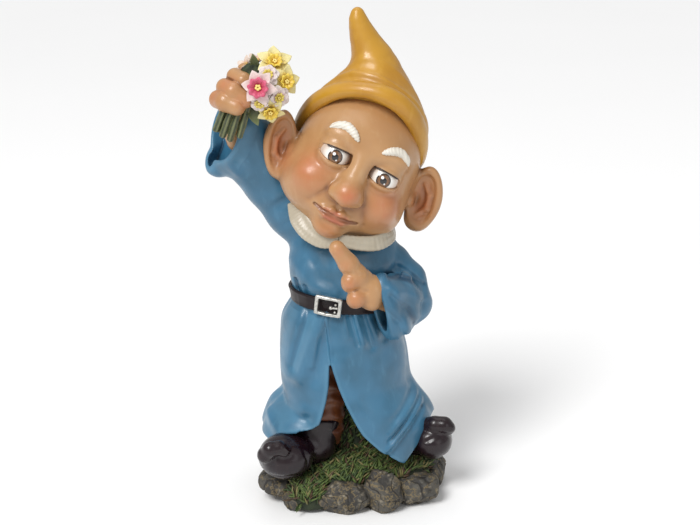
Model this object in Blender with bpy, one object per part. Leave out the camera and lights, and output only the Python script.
"""Garden gnome: a painted cast-resin figure on a rocky grass base.

Run with: blender --background --python part.py
Design values are in millimetres and become metres when a mesh is made. +Z is up, the gnome
faces -Y, and "right" and "left" are the gnome's own, so its right hand is on the -X side.
The origin is in the middle of the flat underside.
"""

import math

import bmesh
import bpy
from mathutils import Matrix, Vector

MM = 0.001

# ---------------------------------------------------------------- driving dimensions
TOTAL_HEIGHT = 380.0
GLUE_GAP = 0.45
WALL = 5.0
FLAT_ENOUGH = math.radians(2.0)

BASE_CENTRE = (0.0, -6.0)
BASE_RADII = (63.0, 43.0)
BASE_THICKNESS = 21.0
TURF_TOP = 32.0
VENT_RADIUS = 5.0
VENT_PLACE = (36.0, 16.0)

WAIST_HEIGHT = 161.0
WAIST_CENTRE = (-8.5, -2.0)
WAIST_RADII = (36.5, 36.0)
BELT_WIDTH = 11.5
BELT_THICKNESS = 3.0
BELT_SLOPE = -0.12

HEAD_CENTRE = Vector((-1.0, 0.0, 261.0))
HEAD_TILT = math.radians(27.0)
HEAD_RADII = (47.0, 50.0, 56.0)
HEAD_LIFT = 8.0

BRIM_CENTRE = (-3.5, 8.0, 20.0)
BRIM_RADII = (44.0, 59.0)
BRIM_PITCH = math.radians(50.0)
BRIM_ROLL = 7.5
HAT_CENTRE = (-1.0, 0.0, 13.0)
HAT_RADII = (51.0, 54.0, 60.0)

STEM_RADIUS = 2.3
FLOWER_RADIUS = 12.5

# Skirt profile by height: (z, centre x, centre y, half width, half depth).
SKIRT_PROFILE = (
    (WAIST_HEIGHT, *WAIST_CENTRE, *WAIST_RADII),
    (149.0, -9.0, -2.0, 43.5, 39.5),
    (142.0, -9.5, -2.0, 46.0, 41.0),
    (117.0, -8.0, -2.0, 49.5, 44.0),
    (92.0, -6.5, -1.0, 50.5, 48.0),
    (80.0, -1.5, -1.0, 53.0, 50.0),
    (68.0, -5.0, -1.0, 61.0, 51.0),
    (52.0, -8.0, -1.0, 68.0, 52.0),
    (30.0, -8.0, -1.0, 69.0, 52.0),
)
# Height of the skirt's hem by direction, in degrees counter-clockwise from +X.
HEM_HEIGHTS = (
    (0, 61.0), (35, 47.0), (90, 41.0), (140, 42.0), (180, 48.0), (201, 46.5), (216, 58.0),
    (235, 63.0), (270, 52.0), (300, 40.0), (318, 37.0), (335, 52.0), (350, 60.0), (360, 61.0),
)
# Outline of the gap in the front of the skirt, in X and Z.
SLIT_OUTLINE = (
    (-18.0, 125.0), (-6.0, 88.0), (7.0, 63.0), (31.0, 41.0), (38.0, 34.0), (38.0, 10.0),
    (-41.0, 10.0), (-41.0, 63.5), (-30.5, 75.0), (-23.5, 91.4),
)
# Torso profile by height, from the waist to the closed top: as SKIRT_PROFILE.
TORSO_PROFILE = (
    (WAIST_HEIGHT, *WAIST_CENTRE, *WAIST_RADII),
    (176.0, -9.0, -2.0, 39.5, 37.0),
    (191.0, -8.0, -1.0, 42.0, 36.0),
    (203.0, -7.0, 0.0, 40.0, 33.0),
    (211.0, -7.0, 1.0, 32.0, 27.0),
    (216.0, -7.0, 1.0, 20.0, 18.0),
)
# Rocks: name, centre, half sizes, seed of the chipped surface.
ROCKS = (
    ("rock_front_middle", (22.5, -49.0, 16.0), (16.0, 13.5, 18.0), 1),
    ("rock_front_left", (-9.0, -49.0, 10.0), (22.0, 13.0, 13.0), 2),
    ("rock_front_right", (50.0, -33.0, 11.0), (20.0, 16.0, 14.0), 3),
    ("rock_right", (63.0, 1.0, 11.0), (12.0, 20.0, 13.5), 4),
    ("rock_left", (-57.0, -22.0, 12.0), (19.0, 20.0, 13.0), 5),
    ("rock_near_left", (-39.0, -45.0, 9.0), (16.0, 14.0, 11.5), 6),
    ("rock_back_left", (-50.0, 24.0, 11.0), (21.0, 17.0, 14.0), 7),
    ("rock_back", (0.0, 38.0, 11.0), (26.0, 12.0, 13.5), 8),
    ("rock_back_right", (46.0, 27.0, 11.0), (20.0, 15.0, 14.0), 9),
)
# Flowers: name, centre, the way it faces, size against FLOWER_RADIUS, colour of the petals.
FLOWERS = (
    ("flower_pink", (-67.5, -38.0, 329.8), (-0.05, -0.98, 0.1), 1.05, "petal_pink"),
    ("flower_yellow_top", (-57.5, -15.0, 342.0), (0.3, -0.7, 0.65), 1.15, "petal_yellow"),
    ("flower_yellow_side", (-50.5, -18.0, 329.0), (0.75, -0.65, 0.1), 1.05, "petal_yellow"),
    ("flower_yellow_low", (-59.0, -29.0, 309.5), (0.1, -0.7, -0.7), 0.95, "petal_yellow"),
    ("flower_white_side", (-53.0, -31.0, 322.0), (0.6, -0.8, -0.1), 0.8, "petal_white"),
    ("flower_white_low", (-64.0, -37.0, 317.0), (-0.1, -0.9, -0.4), 0.75, "petal_white"),
    ("flower_white_top", (-57.0, -28.0, 337.5), (0.25, -0.8, 0.5), 0.85, "petal_white"),
    ("flower_bud_outer", (-83.0, -8.0, 342.0), (-0.7, -0.1, 0.7), 0.6, "petal_white"),
    ("flower_bud_inner", (-74.5, -6.0, 347.0), (-0.1, -0.1, 1.0), 0.65, "petal_white"),
)
# The bunch of stems runs down through the fist, from its top to its foot. Each stem stands
# beside that line by (sideways, behind), and reaches past the foot by the third number.
BUNCH_TOP = Vector((-83.0, -23.0, 318.0))
BUNCH_FOOT = Vector((-92.0, -25.0, 291.5))
BUNCH_SPREAD = 1.15
STEMS = ((-7.8, -2.6, 0.0), (-2.6, -3.2, 2.5), (2.6, -3.2, 3.5), (7.8, -2.6, -1.0), (-5.2, 2.8, 1.0), (0.2, 2.8, 0.0))

COLOURS = {
    "blue": ((0.10, 0.27, 0.50), 0.30, 0.0),
    "skin": ((0.72, 0.42, 0.20), 0.35, 0.0),
    "hat": ((0.78, 0.42, 0.03), 0.25, 0.0),
    "cream": ((0.78, 0.68, 0.50), 0.45, 0.0),
    "leather": ((0.02, 0.015, 0.015), 0.35, 0.0),
    "silver": ((0.55, 0.55, 0.52), 0.35, 0.9),
    "boot": ((0.03, 0.012, 0.02), 0.2, 0.0),
    "trouser": ((0.22, 0.06, 0.015), 0.4, 0.0),
    "rock": ((0.09, 0.08, 0.065), 0.7, 0.0),
    "earth": ((0.05, 0.04, 0.03), 0.8, 0.0),
    "grass": ((0.05, 0.10, 0.02), 0.7, 0.0),
    "stem": ((0.03, 0.05, 0.025), 0.5, 0.0),
    "petal_pink": ((0.75, 0.25, 0.35), 0.5, 0.0),
    "petal_yellow": ((0.80, 0.65, 0.10), 0.5, 0.0),
    "petal_white": ((0.80, 0.70, 0.66), 0.5, 0.0),
}

materials = {}


# ---------------------------------------------------------------- mesh helpers
def clear_scene():
    for thing in list(bpy.data.objects):
        bpy.data.objects.remove(thing)


def material_for(name):
    if name not in materials:
        colour, roughness, metallic = COLOURS[name]
        made = bpy.data.materials.new(name)
        made.use_nodes = True
        shader = made.node_tree.nodes["Principled BSDF"]
        shader.inputs["Base Color"].default_value = (*colour, 1.0)
        shader.inputs["Roughness"].default_value = roughness
        shader.inputs["Metallic"].default_value = metallic
        materials[name] = made
    return materials[name]


def new_object(name, points, faces):
    """An object in the scene from points in millimetres, in triangles that face outwards."""
    mesh = bpy.data.meshes.new(name)
    mesh.from_pydata([Vector(point) * MM for point in points], [], faces)
    skin = bmesh.new()
    skin.from_mesh(mesh)
    bmesh.ops.triangulate(skin, faces=skin.faces)
    bmesh.ops.recalc_face_normals(skin, faces=skin.faces)
    skin.to_mesh(mesh)
    skin.free()
    made = bpy.data.objects.new(name, mesh)
    bpy.context.collection.objects.link(made)
    return made


def ellipse(centre, side, front, count):
    """Points around an ellipse whose half axes are the vectors side and front."""
    points = []
    for step in range(count):
        turn = 2 * math.pi * step / count
        points.append(Vector(centre) + Vector(side) * math.cos(turn) + Vector(front) * math.sin(turn))
    return points


def loft(name, rings, first=None, last=None, looped=False):
    """A skin over rings of equal length, closed by a point or a flat cap at each end."""
    count = len(rings[0])
    points = [point for ring in rings for point in ring]
    faces = []
    pairs = len(rings) if looped else len(rings) - 1
    for row in range(pairs):
        low = row * count
        high = ((row + 1) % len(rings)) * count
        for step in range(count):
            after = (step + 1) % count
            faces.append((low + step, low + after, high + after, high + step))
    if not looped:
        for row, tip in ((0, first), (len(rings) - 1, last)):
            start = row * count
            if tip is None:
                faces.append(tuple(range(start, start + count)))
                continue
            points.append(Vector(tip))
            for step in range(count):
                faces.append((start + step, start + (step + 1) % count, len(points) - 1))
    return new_object(name, points, faces)


def ball(name, centre, radii, axes=None, around=14, rows=8):
    """An ellipsoid; axes is a 3x3 matrix whose columns are its own directions."""
    axes = axes or Matrix.Identity(3)
    centre = Vector(centre)
    rings = []
    for row in range(1, rows):
        lift = math.pi * row / rows
        flat = Vector((0, 0, -radii[2] * math.cos(lift)))
        side = Vector((radii[0] * math.sin(lift), 0, 0))
        front = Vector((0, radii[1] * math.sin(lift), 0))
        rings.append(ellipse(centre + axes @ flat, axes @ side, axes @ front, around))
    pole = axes @ Vector((0, 0, radii[2]))
    return loft(name, rings, centre - pole, centre + pole)


def sweep(name, route, radii, around=12, up=(0, 0, 1)):
    """A round-ended tube along a route; each radius is a number or (towards up, sideways)."""
    route = [Vector(point) for point in route]
    rings = []
    for index, point in enumerate(route):
        before = route[max(index - 1, 0)]
        after = route[min(index + 1, len(route) - 1)]
        along = (after - before).normalized()
        side = along.cross(Vector(up)).normalized()
        rise = side.cross(along).normalized()
        size = radii[index] if isinstance(radii[index], tuple) else (radii[index], radii[index])
        rings.append(ellipse(point, rise * size[0], side * size[1], around))
    ends = []
    for near, far, size in ((0, 1, radii[0]), (-1, -2, radii[-1])):
        reach = 0.6 * (min(size) if isinstance(size, tuple) else size)
        ends.append(route[near] + (route[near] - route[far]).normalized() * reach)
    return loft(name, rings, ends[0], ends[1])


def prism(name, outline, front, back):
    """An outline in X and Z, drawn out along Y."""
    rings = [[Vector((x, y, z)) for x, z in outline] for y in (front, back)]
    return loft(name, rings)


def closed_volume(mesh):
    """Volume of a closed mesh in cubic metres, or nothing where an edge is open."""
    skin = bmesh.new()
    skin.from_mesh(mesh)
    closed = len(skin.faces) > 3 and all(edge.is_manifold for edge in skin.edges)
    volume = skin.calc_volume(signed=True)
    skin.free()
    return volume if closed else None


def combine(target, tool, operation):
    """Apply one Boolean and remove the tool; MANIFOLD stands in where EXACT fails."""
    volumes = [closed_volume(thing.data) or 0.0 for thing in (target, tool)]
    least = max(volumes) if operation == "UNION" else volumes[0] - volumes[1]
    step = target.modifiers.new("combine", "BOOLEAN")
    step.object = tool
    step.operation = operation
    for solver in ("EXACT", "MANIFOLD"):
        step.solver = solver
        graph = bpy.context.evaluated_depsgraph_get()
        result = bpy.data.meshes.new_from_object(target.evaluated_get(graph))
        volume = closed_volume(result)
        if volume is not None and max(least * 0.99, 0) < volume < sum(volumes) * 1.01:
            break
    target.data = result
    target.modifiers.clear()
    bpy.data.objects.remove(tool)
    return target


def fuse(target, *tools):
    for tool in tools:
        combine(target, tool, "UNION")
    return target


def cut(target, *tools):
    for tool in tools:
        combine(target, tool, "DIFFERENCE")
    return target


def keep_main_body(thing):
    """Drop the small scraps that a cut leaves beside the piece itself."""
    skin = bmesh.new()
    skin.from_mesh(thing.data)
    waiting = set(skin.faces)
    bodies = []
    while waiting:
        body = [waiting.pop()]
        for face in body:
            touching = {near for edge in face.edges for near in edge.link_faces} & waiting
            waiting -= touching
            body.extend(touching)
        bodies.append(body)
    bodies.sort(key=lambda body: -sum(face.calc_area() for face in body))
    scraps = [face for body in bodies[1:] for face in body]
    bmesh.ops.delete(skin, geom=scraps, context="FACES")
    bmesh.ops.triangulate(skin, faces=skin.faces)
    skin.to_mesh(thing.data)
    simplify(skin)
    if all(edge.is_manifold for edge in skin.edges):
        skin.to_mesh(thing.data)
    skin.free()
    return thing


def simplify(skin):
    """Merge the needless points and edges that cuts leave on flat places."""
    bmesh.ops.remove_doubles(skin, verts=skin.verts, dist=0.01 * MM)
    bmesh.ops.dissolve_degenerate(skin, edges=skin.edges, dist=0.005 * MM)
    bmesh.ops.dissolve_limit(skin, angle_limit=FLAT_ENOUGH, verts=skin.verts, edges=skin.edges)
    bmesh.ops.triangulate(skin, faces=skin.faces)


def swollen(thing):
    """A copy of a piece grown evenly by the glue gap, to cut its neighbour with."""
    skin = bmesh.new()
    skin.from_mesh(thing.data)
    skin.normal_update()
    offsets = [vertex.normal * min(vertex.calc_shell_factor(), 2.0) * GLUE_GAP * MM for vertex in skin.verts]
    for vertex, offset in zip(skin.verts, offsets):
        vertex.co += offset
    mesh = bpy.data.meshes.new(thing.name + "_seat")
    skin.to_mesh(mesh)
    skin.free()
    grown = bpy.data.objects.new(thing.name + "_seat", mesh)
    bpy.context.collection.objects.link(grown)
    return grown


def seat(thing, *neighbours):
    """Cut a piece back from the neighbours that it is glued to."""
    for neighbour in neighbours:
        cut(thing, swollen(neighbour))
    return keep_main_body(thing)


def finish(thing, colour, root):
    """Give a piece its material, its smooth shading, its own origin and its parent."""
    thing.data.materials.clear()
    thing.data.materials.append(material_for(colour))
    thing.data.shade_smooth()
    thing.data.set_sharp_from_angle(angle=math.radians(40))
    corners = [Vector(corner) for corner in thing.bound_box]
    middle = sum(corners, Vector()) / len(corners)
    thing.data.transform(Matrix.Translation(-middle))
    thing.location = middle
    thing.parent = root


# ---------------------------------------------------------------- shared frames
def head_axes():
    """Columns: the head's own right-to-left, back and up directions."""
    return Matrix.Rotation(HEAD_TILT, 3, "Y")


def on_head(x, y, z):
    return HEAD_CENTRE + head_axes() @ Vector((x, y, z))


def profile_at(profile, height):
    """Centre and half sizes of a profile at one height."""
    rows = sorted(profile)
    height = min(max(height, rows[0][0]), rows[-1][0])
    for low, high in zip(rows, rows[1:]):
        if low[0] <= height <= high[0]:
            share = (height - low[0]) / (high[0] - low[0])
            return [a + (b - a) * share for a, b in zip(low[1:], high[1:])]
    return list(rows[-1][1:])


def hem_height(turn):
    degrees = math.degrees(turn) % 360
    for low, high in zip(HEM_HEIGHTS, HEM_HEIGHTS[1:]):
        if low[0] <= degrees <= high[0]:
            share = (degrees - low[0]) / (high[0] - low[0])
            ease = share * share * (3 - 2 * share)
            return low[1] + (high[1] - low[1]) * ease
    return HEM_HEIGHTS[0][1]


# ---------------------------------------------------------------- base
def make_base():
    rings = []
    for height, inset in ((0.0, 1.5), (6.0, 0.0), (14.0, 1.5), (BASE_THICKNESS, 7.0)):
        ring = []
        for step in range(30):
            turn = 2 * math.pi * step / 30
            ripple = 1 + 0.02 * math.sin(3 * turn + 0.8) + 0.015 * math.sin(5 * turn + 2)
            ring.append(Vector((
                BASE_CENTRE[0] + (BASE_RADII[0] * ripple - inset) * math.cos(turn),
                BASE_CENTRE[1] + (BASE_RADII[1] * ripple - inset) * math.sin(turn),
                height,
            )))
        rings.append(ring)
    return loft("ground_base", rings)


def make_turf():
    rings = []
    bottom = BASE_THICKNESS + GLUE_GAP
    for height, inset in ((bottom, 1.0), (bottom + 3, 2.0), (bottom + 7, 14.0), (TURF_TOP - 1, 27.0)):
        side = (BASE_RADII[0] - inset, 0, 0)
        front = (0, BASE_RADII[1] - inset, 0)
        rings.append(ellipse((*BASE_CENTRE, height), side, front, 24))
    top = (*BASE_CENTRE, TURF_TOP)
    low_cap = (*BASE_CENTRE, bottom)
    return loft("grass_turf", rings, low_cap, top)


def make_hummock():
    rings = []
    for height, radius, x in ((24, 27, -2), (38, 22, -4), (52, 16, -5), (66, 11, -6), (74, 6, -6)):
        rings.append(ellipse((x, 8, height), (radius, 0, 0), (0, radius * 0.9, 0), 16))
    return loft("grass_hummock", rings, None, (-6, 8, 77))


def make_rock(name, centre, radii, seed):
    """A chipped boulder, flat underneath where it stands."""
    rock = ball(name, centre, radii, around=11, rows=7)
    for vertex in rock.data.vertices:
        away = vertex.co / MM - Vector(centre)
        chip = 0.0
        for wave in range(1, 4):
            phase = seed * 1.7 + wave * 2.3
            chip += math.sin(away.x * 0.11 * wave + phase) * math.cos(away.y * 0.13 * wave - phase)
            chip += math.sin(away.z * 0.15 * wave + phase * 1.3)
        away *= 1 + 0.018 * chip
        vertex.co = (Vector(centre) + away) * MM
    below = ((-200.0, -60.0), (200.0, -60.0), (200.0, 0.0), (-200.0, 0.0))
    return cut(rock, prism("floor_tool", below, -200, 200))


def vent_tool():
    return sweep("vent_tool", ((*VENT_PLACE, -10), (*VENT_PLACE, 60)), (VENT_RADIUS, VENT_RADIUS), 16, (0, 1, 0))


# ---------------------------------------------------------------- robe
def skirt_ring(share, inset):
    ring = []
    for step in range(32):
        turn = 2 * math.pi * step / 32
        height = WAIST_HEIGHT + (hem_height(turn) - WAIST_HEIGHT) * share
        x, y, half_width, half_depth = profile_at(SKIRT_PROFILE, height)
        ring.append(Vector((
            x + (half_width - inset) * math.cos(turn),
            y + (half_depth - inset) * math.sin(turn),
            height,
        )))
    return ring


def make_skirt():
    shares = (0.0, 0.17, 0.4, 0.62, 0.8, 1.0)
    outside = [skirt_ring(share, 0.0) for share in shares]
    inside = [skirt_ring(share, WALL) for share in reversed(shares)]
    skirt = loft("robe_skirt", outside + inside, looped=True)
    cut(skirt, prism("slit_tool", SLIT_OUTLINE, -90, -14))
    return keep_main_body(skirt)


def make_torso():
    def ring(row, inset):
        height, x, y, half_width, half_depth = row
        side = (half_width - inset, 0, 0)
        front = (0, half_depth - inset, 0)
        return ellipse((x, y, height), side, front, 24)

    lift = Vector((0, 0, GLUE_GAP))
    outside = [ring(row, 0.0) for row in TORSO_PROFILE]
    inside = []
    for row in reversed(TORSO_PROFILE):
        height = row[0] if row[0] == WAIST_HEIGHT else row[0] - WALL
        inside.append(ring((height, *row[1:]), WALL))
    top = TORSO_PROFILE[-1]
    roof = (top[1], top[2], top[0] + 2)
    ceiling = (top[1], top[2], top[0] - WALL)
    torso = loft("robe_torso", inside + outside, ceiling, roof)
    torso.data.transform(Matrix.Translation(lift * MM))
    return torso


def make_belt(margin=0.0):
    """The strap as a sloping hoop; a margin makes it the tool that clears a neighbour."""
    rings = []
    for step in range(30):
        turn = 2 * math.pi * step / 30
        section = []
        for out, up in ((0, -1), (1, -1), (1, 1), (0, 1)):
            grow = 1.6 - margin + out * (BELT_THICKNESS + 2 * margin)
            x = WAIST_CENTRE[0] + (WAIST_RADII[0] + grow) * math.cos(turn)
            y = WAIST_CENTRE[1] + (WAIST_RADII[1] + grow) * math.sin(turn)
            height = WAIST_HEIGHT + 0.5 + BELT_SLOPE * (x - WAIST_CENTRE[0]) + up * (BELT_WIDTH / 2 + margin)
            section.append(Vector((x, y, height)))
        rings.append(section)
    return loft("belt", rings, looped=True)


def buckle_axes():
    facing = Vector((-0.22, -0.97, 0.0)).normalized()
    level = Matrix.Rotation(math.radians(8), 3, facing) @ Vector((facing.y, -facing.x, 0))
    return level.normalized(), facing, facing.cross(level).normalized()


def make_buckle():
    """A rectangular frame with round corners, standing just clear of the belt."""
    level, facing, up = buckle_axes()
    middle = Vector((-18.7, -45.3, 163.0))
    rings = []
    for step in range(20):
        turn = 2 * math.pi * step / 20
        wide = math.copysign(abs(math.cos(turn)) ** 0.5, math.cos(turn)) * 9.0
        high = math.copysign(abs(math.sin(turn)) ** 0.5, math.sin(turn)) * 6.5
        centre = middle + level * wide + up * high
        out = (level * wide + up * high).normalized()
        rings.append(ellipse(centre, out * 1.9, facing * 1.5, 6))
    return loft("belt_buckle", rings, looped=True)


def make_prong():
    level, facing, up = buckle_axes()
    middle = Vector((-18.7, -44.6, 163.0))
    return sweep("buckle_prong", (middle - level * 6.5, middle + level * 6.5), (1.1, 1.1), 8)


def make_collar(name, route):
    """A flat strip of cloth that lies around the neck, wider than it is thick."""
    lean = Vector((0.0, 0.0, 1.0))
    return sweep(name, route, [(7.5, 2.6)] * len(route), 8, lean)


COLLAR_RIGHT = (
    (-11.5, -40.0, 217.0), (-22.0, -39.0, 216.0), (-32.0, -35.5, 221.0), (-40.0, -28.5, 229.0),
    (-45.0, -19.0, 238.0),
)
COLLAR_LEFT = (
    (-7.5, -40.0, 217.0), (4.0, -40.5, 213.0), (16.0, -37.0, 212.0), (24.5, -28.0, 213.0),
    (29.0, -12.0, 214.0), (27.5, 8.0, 216.0), (17.0, 23.0, 221.0), (-3.0, 31.0, 226.0),
    (-26.0, 28.0, 231.0),
)


def bell_ring(under, over, depth, half_depth, slant, around):
    """An oval ring from its lowest point to its highest; the slant moves its far side."""
    low = Vector((under[0], depth, under[1]))
    high = Vector((over[0], depth, over[1]))
    return ellipse((low + high) / 2, (high - low) / 2, (slant, half_depth, 0), around)


def make_raised_sleeve():
    """The right sleeve: a bell that widens up to its mouth beside the head."""
    sections = (
        ((-40, 191), (-24, 222), 4, 21, 0),
        ((-54, 205), (-38, 244), 10, 20, 0),
        ((-74, 228), (-47, 268), 13, 21, -2),
        ((-90, 246), (-54, 289), 10, 22, -9),
        ((-106.5, 257), (-77, 309), 2, 22, -14),
    )
    opening = (
        ((-87, 254), (-66, 283), 8, 12, -5),
        ((-102, 261.5), (-80, 304), 2, 17.5, -11),
        ((-115, 262), (-92, 326), -3, 24, -16),
    )
    sleeve = loft("sleeve_right", [bell_ring(*section, 18) for section in sections])
    return cut(sleeve, loft("mouth_tool", [bell_ring(*section, 14) for section in opening]))


def make_lowered_sleeve():
    """The left sleeve: round the elbow and back to the chest, with a hanging cuff."""
    route = ((14, 2, 191), (30, 0, 186), (42, -5, 173), (45, -14, 159), (38, -30, 161), (27, -45, 166))
    radii = ((12, 12), (12, 13), (12.5, 15), (17, 15.5), (20, 13), (27.5, 12))
    sleeve = sweep("sleeve_left", route, radii, 16, (0.6, 0.2, 0.8))
    mouth = ((36, -33, 162), (27, -45, 166), (20.5, -54, 169))
    return cut(sleeve, sweep("mouth_tool", mouth, ((15, 7), (23, 8.5), (28, 12)), 12))


# ---------------------------------------------------------------- hands
def make_fist():
    palm = ball("hand_right", (-87, -15, 318), (13, 12, 14), around=14, rows=8)
    fingers = (
        ((-98, -20, 317), (-92, -28, 317), (-84, -31, 314), 7.0),
        ((-93, -20, 326), (-86, -27, 324), (-77.5, -29, 319), 6.5),
        ((-85, -15, 333), (-79, -22, 331), (-73, -24, 327), 6.0),
        ((-79, -8, 336), (-73, -13, 335), (-69, -17, 330), 5.5),
    )
    for root, knuckle, tip, radius in fingers:
        fuse(palm, sweep("finger", (root, knuckle, tip), (radius, radius, radius * 0.85), 8, (0, 0.3, 1)))
    return fuse(palm, sweep("wrist", ((-88, -12, 312), (-90, -6, 298), (-86, 0, 282)), (10, 9, 9), 10, (1, 0, 0)))


def make_pointing_hand():
    palm = ball("hand_left", (10, -50, 180), (11.5, 8, 12.5), around=14, rows=8)
    fuse(palm, sweep("index", ((8, -52, 185), (0, -56, 201), (-11.5, -59, 214.5)), (8.4, 7.6, 5.8), 8, (1, 0, 0)))
    for root, tip in (((8, -53, 189), (-3.5, -57.5, 190)), ((10, -53, 176), (1, -57, 175.5))):
        fuse(palm, sweep("finger", (root, tip), (6.6, 6.2), 8))
    fuse(palm, sweep("thumb", ((15, -54, 180), (10, -58, 190)), (5.2, 4.4), 8, (1, 0, 0)))
    return fuse(palm, sweep("wrist", ((14, -48, 176), (24, -40, 166), (33, -31, 159)), (9, 8, 7.5), 10))


# ---------------------------------------------------------------- legs
def make_leg(name, route, radii):
    return sweep(name, route, radii, 14, (0, 1, 0))


def make_boot(name, toe, heel, shaft_top, knob, toe_radii):
    boot = ball(name, toe, toe_radii, rows=10)
    fuse(boot, ball("heel", heel, (15, 15, 12), around=10, rows=6))
    middle = (Vector(toe) + Vector(heel)) / 2
    fuse(boot, ball("instep", middle, (15, 16, 13), around=10, rows=6))
    fuse(boot, ball("curled_toe", knob, (8, 8, 7), around=10, rows=6))
    ankle = Vector(heel) + Vector((0, 0, 4))
    return fuse(boot, sweep("shaft", (ankle, shaft_top), (13, 14), 12, (0, 1, 0)))


# ---------------------------------------------------------------- head and hat
def make_head():
    axes = head_axes()
    head = ball("head", on_head(0, 0, HEAD_LIFT), HEAD_RADII, axes, 22, 12)
    for side in (-1, 1):
        fuse(head, ball("cheek", on_head(side * 21.5, -14, -18), (27, 30, 23), axes, 16, 9))
    fuse(head, ball("chin", on_head(0, -24, -30), (17, 17, 15), axes, 12, 8))
    fuse(head, ball("nose", on_head(0, -53, -6), (11, 12, 10.5), axes, 12, 7))
    fuse(head, sweep("neck", ((-5, 2, 232), (-7, 2, 202)), (19, 18), 16, (0, 1, 0)))
    inner = tuple(radius - WALL - 2 for radius in HEAD_RADII)
    hollow = ball("hollow_tool", on_head(0, 0, HEAD_LIFT), inner, axes, 16, 9)
    fuse(hollow, sweep("channel_tool", ((-4, 2, 245), (-7, 2, 180)), (12, 12), 12, (0, 1, 0)))
    return cut(head, hollow)


def make_ear(name, centre, radii, lean):
    """A rounded ear with a shallow bowl in its front face."""
    axes = Matrix.Rotation(lean, 3, "Y")
    ear = ball(name, centre, radii, axes, 14, 9)
    bowl = Vector(centre) + Vector((0, -radii[1], 0))
    return cut(ear, ball("bowl_tool", bowl, (radii[0] * 0.6, 4, radii[2] * 0.66), axes, 10, 6))


def make_eyebrow(name, side):
    route = []
    for along, lift in ((-8, -1.5), (-3, 0.8), (3, 0.8), (8, -2.0)):
        x = side * (21 + along)
        z = 34 + lift
        depth = HEAD_RADII[1] * math.sqrt(1 - (x / HEAD_RADII[0]) ** 2 - ((z - HEAD_LIFT) / HEAD_RADII[2]) ** 2)
        route.append(on_head(x, -depth - 0.8, z))
    return sweep(name, route, (1.8, 2.6, 2.6, 1.8), 8, (0, 1, 0))


def brim_axes():
    """The brim's half axes: across the head, and up to the front."""
    axes = head_axes()
    across = axes @ Vector((BRIM_RADII[0], 0, 0))
    forward = axes @ Vector((0, -math.cos(BRIM_PITCH), math.sin(BRIM_PITCH))) * BRIM_RADII[1]
    return across, forward


def make_brim():
    across, forward = brim_axes()
    middle = on_head(*BRIM_CENTRE)
    normal = across.cross(forward).normalized()
    rings = []
    for step in range(30):
        turn = 2 * math.pi * step / 30
        spoke = across * math.cos(turn) + forward * math.sin(turn)
        rings.append(ellipse(middle + spoke, spoke.normalized() * BRIM_ROLL * 0.8, normal * BRIM_ROLL, 8))
    return loft("hat_brim", rings, looped=True)


def make_crown():
    """The hat's cap over the back of the head, with its tall point leaning to one side."""
    axes = head_axes()
    crown = ball("hat_crown", on_head(*HAT_CENTRE), HAT_RADII, axes, 22, 12)
    point = (
        ((17, 9, 316), 26), ((17.5, 9, 334), 20.5), ((12, 9, 351), 14), ((7, 8.5, 363), 10.2),
        ((4.5, 8, 373), 6.6), ((4.3, 8, 377.5), 3.6),
    )
    rings = [ellipse(centre, (radius, 0, 0), (0, radius, 0), 16) for centre, radius in point]
    fuse(crown, loft("point", rings, (17, 9, 305), (4.3, 8, TOTAL_HEIGHT)))
    across, forward = brim_axes()
    middle = on_head(*BRIM_CENTRE)
    down = across.cross(forward).normalized() * (-120)
    if down.z > 0:
        down = -down
    rings = [ellipse(middle + down * share, across * 2, forward * 2, 12) for share in (0, 1)]
    return cut(crown, loft("below_brim_tool", rings))


# ---------------------------------------------------------------- bouquet
def make_flower(name, centre, facing, size):
    """Six petals around a raised middle, thickest where they join."""
    facing = Vector(facing).normalized()
    side = facing.cross(Vector((0, 0, 1)) if abs(facing.z) < 0.9 else Vector((1, 0, 0))).normalized()
    up = side.cross(facing)
    radius = FLOWER_RADIUS * size

    def ring(share, lift):
        points = []
        for step in range(12):
            turn = 2 * math.pi * step / 12
            notch = 1 - 0.24 * share * (0.5 - 0.5 * math.cos(6 * turn))
            reach = radius * share * notch
            points.append(Vector(centre) + (side * math.cos(turn) + up * math.sin(turn)) * reach + facing * lift)
        return points

    rings = [ring(0.98, 0.2), ring(1.0, 1.8), ring(0.4, 0.6), ring(0.26, 2.6)]
    return loft(name, rings, Vector(centre) - facing * radius * 0.5, Vector(centre) + facing * 3.2)


def make_greens():
    greens = ball("bouquet_greens", (-68, -15, 329), (11, 10, 15), around=12, rows=7)
    return fuse(greens, ball("green_neck", (-74, -20, 320), (10, 9, 10), around=10, rows=6))


def make_stem(name, sideways, behind, extra):
    along = (BUNCH_FOOT - BUNCH_TOP).normalized()
    side = Vector((-along.z, 0.0, along.x)).normalized()
    offset = side * sideways + Vector((0.0, behind, 0.0))
    start = BUNCH_TOP + offset
    end = BUNCH_FOOT + offset * BUNCH_SPREAD + along * extra
    return sweep(name, (start, (start + end) / 2, end), (STEM_RADIUS,) * 3, 8, (0, 1, 0))


def make_leaf(name, base, tip, half_width):
    base = Vector(base)
    tip = Vector(tip)
    middle = (base + tip) / 2
    return sweep(name, (base, middle, tip), ((1.6, 2.5), (1.8, half_width), (1.2, 1.5)), 10, (0, 1, 0))


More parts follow.
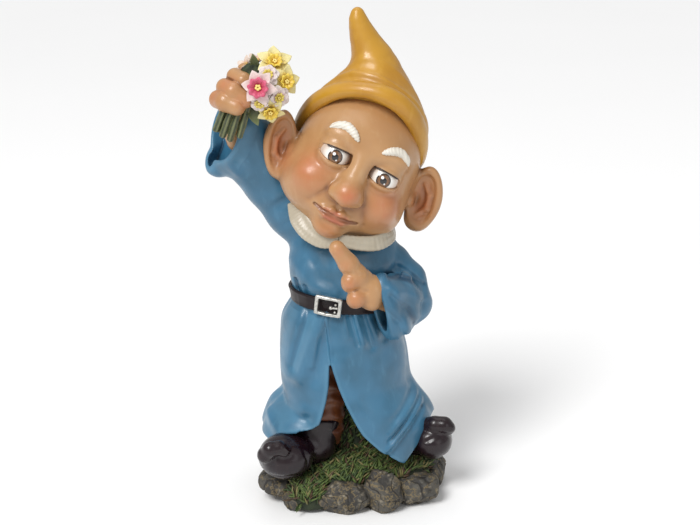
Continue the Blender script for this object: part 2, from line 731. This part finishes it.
# ---------------------------------------------------------------- assembly
def build():
    clear_scene()
    root = bpy.data.objects.new("garden_gnome", None)
    bpy.context.collection.objects.link(root)
    pieces = {}

    def add(thing, colour):
        pieces[thing.name] = (thing, colour)
        return thing

    # Head first: what touches it is cut back from it.
    head = add(make_head(), "skin")
    brim = add(seat(make_brim(), head), "hat")
    add(seat(make_crown(), head, brim), "hat")
    crown = pieces["hat_crown"][0]
    add(seat(make_ear("ear_right", (-54, -5, 277.5), (12.5, 7, 27), math.radians(8)), head, brim, crown), "skin")
    add(seat(make_ear("ear_left", (53, 0, 236), (13.5, 7, 25.5), math.radians(13)), head, brim, crown), "skin")
    for name, side in (("eyebrow_right", -1), ("eyebrow_left", 1)):
        add(seat(make_eyebrow(name, side), head, brim), "cream")

    torso = add(seat(make_torso(), head), "blue")
    skirt = add(make_skirt(), "blue")
    belt = add(seat(make_belt(), torso, skirt), "leather")
    buckle = add(seat(make_buckle(), belt), "silver")
    add(seat(make_prong(), belt, buckle), "silver")

    fist = add(make_fist(), "skin")
    pointing = add(make_pointing_hand(), "skin")
    ears = [pieces[name][0] for name in ("ear_right", "ear_left")]
    raised = add(seat(make_raised_sleeve(), torso, head, *ears, crown, brim, fist), "blue")
    lowered = cut(make_lowered_sleeve(), make_belt(2 * GLUE_GAP))
    add(seat(lowered, torso, skirt, pointing), "blue")
    right_collar = add(seat(make_collar("collar_right", COLLAR_RIGHT), head, torso, raised), "cream")
    add(seat(make_collar("collar_left", COLLAR_LEFT), head, torso, lowered, pointing, right_collar), "cream")

    boots = (
        make_boot("boot_right", (-52, -42, 42), (-34, -18, 40), (-24, -14, 62), (-60, -58, 50), (21.5, 20, 18)),
        make_boot("boot_left", (63, -18, 45), (46, -8, 41), (38, -4, 64), (71, -23, 58), (14.5, 16, 15.5)),
    )
    for boot in boots:
        add(boot, "boot")
    legs = (
        ("leg_right", ((-24, -14, 60), (-21, -13, 92), (-18, -4, 140)), (16, 18, 18), boots[0]),
        ("leg_left", ((37, -4, 62), (24, -3, 92), (10, 0, 140)), (16, 17, 17), boots[1]),
    )
    previous = []
    for name, route, radii, boot in legs:
        leg = add(seat(make_leg(name, route, radii), boot, skirt, *previous), "trouser")
        previous.append(leg)
    for boot in boots:
        seat(boot, skirt)

    base = add(make_base(), "earth")
    turf = add(seat(make_turf(), *boots), "grass")
    add(seat(make_hummock(), turf, *boots, *previous), "grass")
    rocks = [make_rock(*rock) for rock in ROCKS]
    for index, rock in enumerate(rocks):
        add(seat(rock, base, turf, *boots, *rocks[:index]), "rock")
    for thing in (base, turf):
        keep_main_body(cut(thing, vent_tool()))

    greens = add(seat(make_greens(), fist), "stem")
    flowers = []
    for name, centre, facing, size, colour in FLOWERS:
        flower = seat(make_flower(name, centre, facing, size), fist, *ears, *flowers)
        flowers.append(add(flower, colour))
    seat(greens, *flowers)
    stems = []
    for index, place in enumerate(STEMS):
        stem = make_stem(f"stem_{index + 1}", *place)
        stems.append(add(seat(stem, fist, greens), "stem"))
    leaf = make_leaf("leaf_low", (-74, -24, 312), (-67, -29, 296), 5)
    add(seat(leaf, fist, greens, raised, *flowers, *stems), "stem")
    leaf = make_leaf("leaf_top", (-71, -14, 338), (-72, -20, 351), 4.5)
    add(seat(leaf, fist, greens, *flowers), "stem")

    for thing, colour in pieces.values():
        finish(thing, colour, root)


build()
